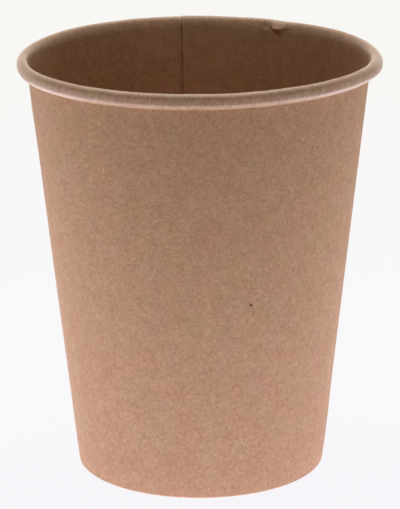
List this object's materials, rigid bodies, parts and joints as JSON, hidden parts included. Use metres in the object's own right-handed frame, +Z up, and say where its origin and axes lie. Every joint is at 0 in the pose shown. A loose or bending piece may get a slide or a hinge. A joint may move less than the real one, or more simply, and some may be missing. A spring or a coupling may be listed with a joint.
{
  "type": "paper cup",
  "caption": "Open conical paper cup with a rolled rim, an overlapped side seam, and a recessed base gripped in a folded hem.",
  "frame": {"origin": "on the cup's axis, in the plane of the ring that it stands on", "axes": "+Z up the cup's axis, -Y towards the viewer of the picture, +X to the right, the side seam at the back, near +Y"},
  "size_m": [0.08, 0.0801, 0.0941],
  "materials": {
    "wall_board": "matt unbleached kraft board, thin clear coat on the inside",
    "base_board": "matt unbleached kraft board, thin clear coat on the upper side"
  },
  "bodies": {
    "root": {"sidewall": "wall_board", "base_disc": "base_board"}
  },
  "joints": []
}
